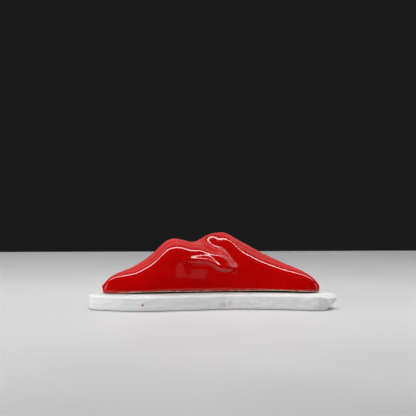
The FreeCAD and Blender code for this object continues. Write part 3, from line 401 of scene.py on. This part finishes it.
def inner_skin(x, s):
    return skin(x, s, 4.8, 3.2)


def section(fn, x, m):
    """The part of a section above the waved rim, as m points."""
    def over(s):
        q = fn(x, s)
        return q[2] - rim_f(q[0])
    ends = []
    for lo, hi in ((0.0, 0.5), (1.0, 0.5)):
        for _ in range(40):
            mid = (lo + hi) / 2
            if over(mid) < 0:
                lo = mid
            else:
                hi = mid
        ends.append(hi)
    return [fn(x, ends[0] + (ends[1] - ends[0]) * j / (m - 1.0)) for j in range(m)]


def lips():
    n, m, mi = 321, 201, 61
    bm = bmesh.new()

    def sheet_of(fn, half, cols):
        rows = []
        for i in range(n):
            x = XC - half * math.cos(math.pi * i / (n - 1))
            rows.append([bm.verts.new((a * MM, b * MM, (c + SHELL_Z) * MM)) for a, b, c in section(fn, x, cols)])
        for a, b in zip(rows, rows[1:]):
            for j in range(cols - 1):
                bm.faces.new((a[j], b[j], b[j + 1], a[j + 1]))
        bm.faces.new(rows[0])
        bm.faces.new(rows[-1])
        return [r[0] for r in rows] + [r[-1] for r in reversed(rows)]
    out = sheet_of(outer_skin, LH * 0.9998, m)
    inn = sheet_of(inner_skin, (LH - 4.8 * 1.35) * 0.9990, mi)
    k = len(out)
    for i in range(k):
        bm.faces.new((out[i], out[(i + 1) % k], inn[(i + 1) % k], inn[i]))
    o = to_object("lip_skin", bm, lips_mat)
    # opening for the line socket in the far wall
    cb = bmesh.new()
    x0, x1, y0, y1, z0, z1 = -4.65, 8.65, 41.0, 58.0, 17.8, 30.1
    loops_to_bm(cb, [[(x0, y0, z), (x1, y0, z), (x1, y1, z), (x0, y1, z)] for z in (z0, z1)])
    tool = to_object("socket_tool", cb, lips_mat, False)
    md = o.modifiers.new("socket", "BOOLEAN")
    md.operation, md.solver, md.object = "DIFFERENCE", "EXACT", tool
    dg = bpy.context.evaluated_depsgraph_get()
    me = bpy.data.meshes.new_from_object(o.evaluated_get(dg))
    o.modifiers.clear()
    old = o.data
    o.data = me
    bpy.data.meshes.remove(old)
    tm = tool.data
    bpy.data.objects.remove(tool)
    bpy.data.meshes.remove(tm)
    bm = bmesh.new()
    bm.from_mesh(me)
    for x, y in ((-92.0, -27.0), (90.0, -26.0), (-43.0, -31.0), (47.0, -25.5), (-43.0, 27.5), (46.0, 22.0)):
        near, far = outline(x, 4.8)
        s = 2 / math.pi * math.asin(math.sqrt(max(0.0, min(1.0, (y - near) / (far - near)))))
        tube(bm, x, y, PLATE_TOP + 0.02, SHELL_Z + inner_skin(x, s)[2] + 0.8, 3.5, 1.5, 8.0)
    bm.to_mesh(me)
    bm.free()
    a = me.attributes.new("rim", "FLOAT", "POINT")
    a.data.foreach_set("value", [v.co.z / MM - SHELL_Z - rim_f(max(-129.0, min(129.0, v.co.x / MM))) for v in me.vertices])
    for f in me.polygons:
        f.use_smooth = True
    me.set_sharp_from_angle(angle=math.radians(50))
    return o


lip = lips()
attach(lip, "handset")
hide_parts("lip_shell")

# ---- the white plate ----------------------------------------------------------------------
PLAN = [(-70, -65.5), (-50, -64), (-30, -61.3), (-10, -57.5), (8, -54.3), (22, -53), (36, -53.4), (52, -55.3),
        (70, -58.5), (88, -63), (102, -65.5), (113, -62.5), (120.5, -55.5), (123.5, -46.5), (119, -36.5), (111, -24),
        (102, -8.5), (92, 8), (78, 28), (60, 44), (40, 56), (20, 63), (0, 65.5), (-20, 63.7), (-40, 57), (-60, 45),
        (-78, 28.5), (-93, 8.5), (-103.5, -8), (-112, -21.5), (-119.5, -31), (-123.5, -40), (-120.5, -48.5), (-111, -55.5), (-94, -61.5)]


def closed_spline(points, count):
    """Evenly spaced points on a periodic cubic through the points."""
    n = len(points)
    fine = []
    for i in range(n):
        p0, p1, p2, p3 = (Vector(points[(i + k) % n]) for k in (-1, 0, 1, 2))
        for j in range(40):
            t = j / 40.0
            fine.append(0.5 * ((2 * p1) + (p2 - p0) * t + (2 * p0 - 5 * p1 + 4 * p2 - p3) * t * t
                               + (3 * p1 - p0 - 3 * p2 + p3) * t ** 3))
    run = [0.0]
    for a, b in zip(fine, fine[1:] + fine[:1]):
        run.append(run[-1] + (b - a).length)
    out, k = [], 0
    for i in range(count):
        d = run[-1] * i / count
        while run[k + 1] < d:
            k += 1
        u = (d - run[k]) / (run[k + 1] - run[k])
        out.append(fine[k].lerp(fine[(k + 1) % len(fine)], u))
    return out


def white_plate():
    n = 900
    line = closed_spline(PLAN, n)
    x0, x1 = min(v.x for v in line), max(v.x for v in line)
    y0, y1 = min(v.y for v in line), max(v.y for v in line)
    line = [Vector(((v.x - (x0 + x1) / 2) * 247.0 / (x1 - x0), (v.y - (y0 + y1) / 2) * 131.0 / (y1 - y0))) for v in line]
    inward = []
    for i in range(n):
        t = (line[(i + 3) % n] - line[i - 3]).normalized()
        inward.append(Vector((-t.y, t.x)))

    def loop(off, z, rough=0.0, seed=0.0):
        pts = []
        for i, (v, w) in enumerate(zip(line, inward)):
            q = v + w * off
            if rough:
                chip = 1.0 + 1.6 * max(0.0, min(1.0, (v.x - 96.0) / 16.0))
                q = q + w * rough * chip * (0.6 + noise.noise(Vector((v.x * 0.12, v.y * 0.12, z * 0.25 + seed)))
                                     + 0.5 * noise.noise(Vector((v.x * 0.5, v.y * 0.5, z * 0.8 + seed))))
            top = z
            if rough and z > BASE_TOP - 2.5:
                top = z - 0.3 * (0.6 + noise.noise(Vector((v.x * 0.22, v.y * 0.22, 9.0)))) * min(1.0, 1.5 / (off + 0.5))
            if z > BASE_TOP - 3.5 and off < 4.0:      # its upper edge there is worn down
                top -= 1.9 * max(0.0, min(1.0, (q.x - 104.0) / 9.0)) * max(0.0, min(1.0, (-40.0 - q.y) / 12.0))
            if off < 5.9:      # the right end is undercut
                q.x = min(q.x, 108.5 + (z + 1.0) * 18.5 / 13.0)
            elif off < 6.1 and z < 11.2:
                q.x = min(q.x, 107.0)
            pts.append((min(q.x, 121.8), q.y, top))
        return pts
    r = 2.0
    loops = [loop(6.0, BASE_TOP - 3.5), loop(6.0, FOOT_OUT), loop(2.6, FOOT_OUT, 0.15)]
    for off, z in ((0.5, 0.42), (0.2, 0.55), (0.05, 0.9)):      # worn lower edge
        loops.append(loop(off, z, 0.3))
    for z in (2.6, 3.8, 5.5, 7.0, 8.5, 10.0, 11.3, 12.3):
        loops.append(loop(0.0, z, 0.45))
    for k in range(1, 7):
        a = math.pi / 2 * k / 6
        loops.append(loop(r * (1 - math.cos(a)), BASE_TOP - r + r * math.sin(a), 0.45 - 0.05 * k))
    for off in (3.5, 5.5):
        loops.append(loop(off, BASE_TOP))
    for f in (0.9, 0.6, 0.3):
        last = loops[-1] if f == 0.9 else ring0
        if f == 0.9:
            ring0 = last
        loops.append([(x * f, -2 + (y + 2) * f, BASE_TOP) for x, y, z in ring0])
    bm = bmesh.new()
    loops_to_bm(bm, loops)
    for x, y in ((-96.0, -38.0), (96.0, -38.0), (-48.0, 34.0), (48.0, 34.0), (20.0, -40.0)):
        tube(bm, x, y, 2.65, BASE_TOP - 3.0, 4.0, 1.5, 4.5)
    o = to_object("white_slab", bm, white_mat)
    o.data.set_sharp_from_angle(angle=math.radians(55))
    return o


slab = white_plate()
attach(slab, "base")
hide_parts("base_shell")

# ---- rubber parts -------------------------------------------------------------------------
KEY_NAMES = ("key_1", "key_2", "key_3", "key_4", "key_5", "key_6", "key_7", "key_8", "key_9", "key_star", "key_0", "key_hash")
KEY_AT = [(2.0 + (i // 3 - 1.5) * 13.0, 8.0 + (1 - i % 3) * 16.0) for i in range(12)]
DOME_LOW, DOME_HIGH, SHEET_TOP = 21.4, 23.5, 24.7
HOOK_X, HOOK_Y = -47.0, 12.0


def turned(bm, x, y, profile, n=40, caps=True):
    """A skin turned about the upright line through (x, y); profile is a list of (radius, z)."""
    loops_to_bm(bm, [[(x + r * math.cos(2 * math.pi * i / n), y + r * math.sin(2 * math.pi * i / n), z) for i in range(n)]
                     for r, z in profile], caps, caps)


bm = bmesh.new()
loops_to_bm(bm, [[(2.0 - a, 8.0 - b, z), (2.0 + a, 8.0 - b, z), (2.0 + a, 8.0 + b, z), (2.0 - a, 8.0 + b, z)]
                 for a, b, z in ((27.8, 25.8, DOME_HIGH), (28.0, 26.0, DOME_HIGH + 0.2), (28.0, 26.0, SHEET_TOP - 0.2),
                                 (27.8, 25.8, SHEET_TOP))])
mat_sheet = to_object("membrane_sheet", bm, FINISH["grey_rubber"], False)
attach(mat_sheet, "handset")
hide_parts("keypad_membrane")
for n, (cx, cy) in zip(KEY_NAMES, KEY_AT):
    bm = bmesh.new()
    turned(bm, cx, cy, [(2.0, DOME_LOW), (2.2, DOME_LOW + 0.1), (2.9, 22.5), (3.3, 23.1), (3.6, DOME_HIGH - 0.02)])
    o = to_object("dome_" + n, bm, FINISH["grey_rubber"])
    o.data.set_sharp_from_angle(angle=math.radians(50))
    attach(o, "handset")
    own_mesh(o)

# sleeve that pushes the hook plunger out
SLEEVE_LOW, SLEEVE_HIGH = 24.15, 31.05
half = (SLEEVE_HIGH - SLEEVE_LOW) / 8
outer, inner = [], []
for i in range(9):
    z = SLEEVE_LOW + half * i
    if i:
        for k in (1, 2, 3):
            t = k / 4.0
            u = t if i % 2 else 1 - t
            outer.append((4.0 + 1.2 * u, z - half + half * t))
    outer.append((5.2 if i % 2 else 4.0, z))
inner = [(3.0, SLEEVE_HIGH - (SLEEVE_HIGH - SLEEVE_LOW) * k / 16.0) for k in range(17)]
bm = bmesh.new()
rings = loops_to_bm(bm, [[(HOOK_X + r * math.cos(2 * math.pi * i / 40), HOOK_Y + r * math.sin(2 * math.pi * i / 40), z)
                          for i in range(40)] for r, z in outer + inner], False, False)
for i in range(40):
    bm.faces.new((rings[-1][i], rings[-1][(i + 1) % 40], rings[0][(i + 1) % 40], rings[0][i]))
sleeve = to_object("hook_sleeve", bm, FINISH["grey_rubber"])
sleeve.data.set_sharp_from_angle(angle=math.radians(40))
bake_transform(sleeve)
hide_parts("hook_bellows")

# ---- numbers on the keys ------------------------------------------------------------------
KEY_Z = 16.3
for n, ch, (cx, cy) in zip(KEY_NAMES, "123456789*0#", KEY_AT):
    cu = bpy.data.curves.new("digit", "FONT")
    cu.body = ch
    cu.align_x, cu.align_y = "CENTER", "CENTER"
    cu.size = 0.0075 if ch != "*" else 0.010
    cu.extrude = 0.00008
    tmp = bpy.data.objects.new("digit", cu)
    scene.collection.objects.link(tmp)
    dg = bpy.context.evaluated_depsgraph_get()
    me = bpy.data.meshes.new_from_object(tmp.evaluated_get(dg))
    bpy.data.objects.remove(tmp)
    bpy.data.curves.remove(cu)
    us, vs = [v.co.x for v in me.vertices], [v.co.y for v in me.vertices]
    mu, mv = (min(us) + max(us)) / 2, (min(vs) + max(vs)) / 2
    for v in me.vertices:
        u, w, h = v.co.x - mu, v.co.y - mv, v.co.z
        v.co = (cx * MM - w, cy * MM - u, KEY_Z * MM - h)
    bm = bmesh.new()
    bm.from_mesh(me)
    bmesh.ops.remove_doubles(bm, verts=bm.verts, dist=1e-7)
    bpy.data.meshes.remove(me)
    o = to_object("mark_" + n, bm, ink, False)
    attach(o, n)

# ---- floor --------------------------------------------------------------------------------
bm = bmesh.new()
loops_to_bm(bm, [[(-2600, -2600, z), (2600, -2600, z), (2600, 508, z), (-2600, 508, z)] for z in (-30.0, 0.0)])
floor_mat = plain("pale_floor", (0.54, 0.532, 0.54), 0.6, 0.0, 0.03, 6.0, 0.02)
floor = to_object("floor", bm, floor_mat, False)

# ---- light --------------------------------------------------------------------------------
world = bpy.data.worlds.new("dim_studio")
scene.world = world
world.use_nodes = True
bg = world.node_tree.nodes["Background"]
bg.inputs["Color"].default_value = (0.0108, 0.0108, 0.0112, 1.0)
bg.inputs["Strength"].default_value = 1.0


def panel(name, at, aim, sx, sy, radiance, glossy=True):
    """A flat soft light; radiance is the brightness of its face."""
    li = bpy.data.lights.new(name, "AREA")
    li.shape = "RECTANGLE"
    li.size, li.size_y = sx, sy
    li.energy = radiance * sx * sy * math.pi * 1.0
    o = bpy.data.objects.new(name, li)
    o.location = at
    o.rotation_euler = (Vector(aim) - Vector(at)).to_track_quat("-Z", "Y").to_euler()
    scene.collection.objects.link(o)
    o.visible_glossy = glossy
    o.visible_camera = False
    return o


panel("strip", (0.0, -0.225, 1.0), (0.0, -0.1, 0.0), 2.2, 0.095, 14.5)
key = panel("key", (0.1, 0.6, 1.1), (0.0, -0.05, 0.0), 1.2, 0.4, 1.05, glossy=False)
key.data.spread = math.radians(50)
panel("behind", (0.0, 1.0, 1.25), (0.0, 0.0, 0.05), 3.0, 1.6, 0.34)
panel("over", (0.0, 0.30, 1.25), (0.0, 0.1, 0.0), 3.0, 0.62, 0.52)
panel("horizon", (0.0, 2.3, 0.62), (0.0, 0.0, 0.05), 4.0, 0.9, 0.16)
panel("front_fill", (-0.90, -0.82, 0.34), (0.0, -0.04, 0.03), 0.7, 0.5, 4.7, glossy=False)
panel("card", (0.40, -1.42, 0.41), (0.0, 0.0, 0.04), 0.14, 0.28, 0.25)
panel("left_end", (-1.5, -0.35, 0.45), (0.0, 0.0, 0.03), 0.14, 0.7, 5.0)
panel("right_end", (1.5, -0.35, 0.45), (0.0, 0.0, 0.03), 0.14, 0.7, 5.0)

# ---- camera -------------------------------------------------------------------------------
cam = bpy.data.cameras.new("camera")
cam.sensor_width = 36.0
cam.lens = 117.9
cam.dof.use_dof = False
cam.clip_start = 0.05
co_ = bpy.data.objects.new("camera", cam)
scene.collection.objects.link(co_)
head, down = math.radians(2.0), math.radians(8.0)
eye = Vector((-math.sin(head) * math.cos(down), -math.cos(head) * math.cos(down), math.sin(down))) * 1.4
head, down = math.radians(1.853), math.radians(4.048)
look = Vector((math.sin(head) * math.cos(down), math.cos(head) * math.cos(down), -math.sin(down)))
co_.location = eye
co_.rotation_euler = look.to_track_quat("-Z", "Y").to_euler()
scene.camera = co_
scene.view_settings.view_transform = "Standard"

bpy.context.view_layer.update()
